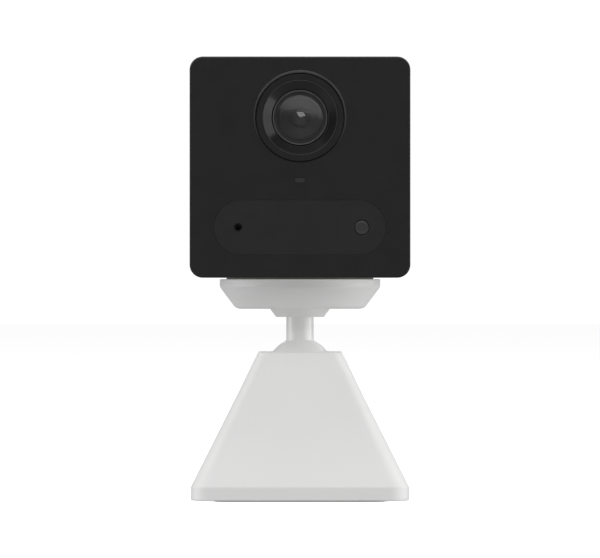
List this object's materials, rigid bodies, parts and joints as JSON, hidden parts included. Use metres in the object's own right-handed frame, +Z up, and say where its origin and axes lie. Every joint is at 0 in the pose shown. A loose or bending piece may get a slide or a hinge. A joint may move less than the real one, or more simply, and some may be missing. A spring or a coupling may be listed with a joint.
{
  "type": "security camera",
  "caption": "Battery security camera: a cube head with a domed lens and pill sensor window sits on a magnetic cup, ball joint and pyramid stand.",
  "frame": {"origin": "centre of the foot, on the surface the stand rests on", "axes": "+Z up through the stand and the head, -Y the way the lens looks, +X to the right of someone facing the lens"},
  "size_m": [0.05, 0.0512, 0.101],
  "materials": {
    "white_plastic": "fine matt",
    "white_paint": "satin paint",
    "black_plastic": "satin",
    "black_trim": "satin anodised",
    "black_gloss": "gloss",
    "window_black": "semi-gloss, infrared-clear",
    "coated_glass": "coated, polished",
    "filter_blue": "coated, polished",
    "clear_plastic": "clear moulding",
    "grey_rubber": "matt",
    "dark_rubber": "matt",
    "white_rubber": "soft matt",
    "zinc_steel": "plated",
    "nickel": "nickel plate",
    "copper_tone": "bright",
    "green_board": "solder mask",
    "chip_black": "moulded",
    "grey_plastic": "moulded",
    "battery_wrap": "foil pouch",
    "lead_red": "insulation",
    "amber_film": "film"
  },
  "bodies": {
    "base": {"base_shell": "white_plastic", "base_plate": "white_plastic", "foot_pad": "grey_rubber", "ballast_plate": "zinc_steel", "spring_retainer": "black_plastic", "seat_spring": "zinc_steel", "base_screws": "zinc_steel"},
    "seat": {"ball_seat": "black_plastic"},
    "stem": {"ball_stud": "white_paint", "stem_collar": "white_paint", "magnet_cup": "white_plastic", "magnet_yoke": "zinc_steel", "magnet_ring": "nickel", "cup_screw": "zinc_steel"},
    "pad": {"grip_pad": "dark_rubber"},
    "head": {"front_cover": "black_plastic", "rear_housing": "white_plastic", "lens_bezel": "black_trim", "lens_hood": "black_gloss", "lens_barrel": "black_plastic", "lens_retaining_ring": "black_trim", "front_lens": "coated_glass", "lens_baffle": "black_plastic", "inner_lens": "coated_glass", "rear_lens": "coated_glass", "lens_holder": "black_plastic", "image_sensor": "black_gloss", "sensor_board": "green_board", "sensor_window": "window_black", "motion_sensor_lens": "window_black", "motion_sensor": "zinc_steel", "infrared_leds": "clear_plastic", "microphone": "copper_tone", "microphone_gasket": "dark_rubber", "status_light_guide": "window_black", "status_led": "clear_plastic", "front_board": "green_board", "chassis": "grey_plastic", "battery": "battery_wrap", "battery_lead": "lead_red", "main_board": "green_board", "shield_can": "zinc_steel", "board_chips": "chip_black", "usb_socket": "zinc_steel", "card_socket": "zinc_steel", "power_switch": "chip_black", "reset_switch": "chip_black", "speaker": "chip_black", "speaker_gasket": "dark_rubber", "antenna": "copper_tone", "sensor_ribbon": "amber_film", "keeper_plate": "zinc_steel", "head_screws": "zinc_steel"},
    "filter": {"filter_frame": "black_plastic", "filter_glass": "filter_blue"},
    "power_button": {"power_button": "white_plastic"},
    "reset_button": {"reset_button": "grey_plastic"},
    "port_cover": {"port_cover": "white_rubber"}
  },
  "joints": [
    {"name": "ball_turn", "type": "hinge", "parent": "base", "child": "seat", "pos_m": [0, 0, 0.0294], "axis": [0, 0, 1], "continuous": true},
    {"name": "ball_tilt", "type": "hinge", "parent": "seat", "child": "stem", "pos_m": [0, 0, 0.0294], "axis": [1, 0, 0], "range_deg": [-28, 28]},
    {"name": "head_turn", "type": "hinge", "parent": "stem", "child": "pad", "pos_m": [0, 0, 0.0509], "axis": [0, 0, 1], "continuous": true},
    {"name": "head_lift", "type": "slide", "parent": "pad", "child": "head", "axis": [0, 0, 1], "range_m": [0, 0.02]},
    {"name": "filter_slide", "type": "slide", "parent": "head", "child": "filter", "axis": [1, 0, 0], "range_m": [0, 0.0056]},
    {"name": "power_press", "type": "slide", "parent": "head", "child": "power_button", "axis": [0, -1, 0], "range_m": [0, 0.0005], "stiffness_N_per_m": 3000},
    {"name": "reset_press", "type": "slide", "parent": "head", "child": "reset_button", "axis": [0, -1, 0], "range_m": [0, 0.0003], "stiffness_N_per_m": 3000},
    {"name": "port_open", "type": "hinge", "parent": "head", "child": "port_cover", "pos_m": [0, 0.02442, 0.05532], "axis": [-1, 0, 0], "range_deg": [0, 95]}
  ]
}
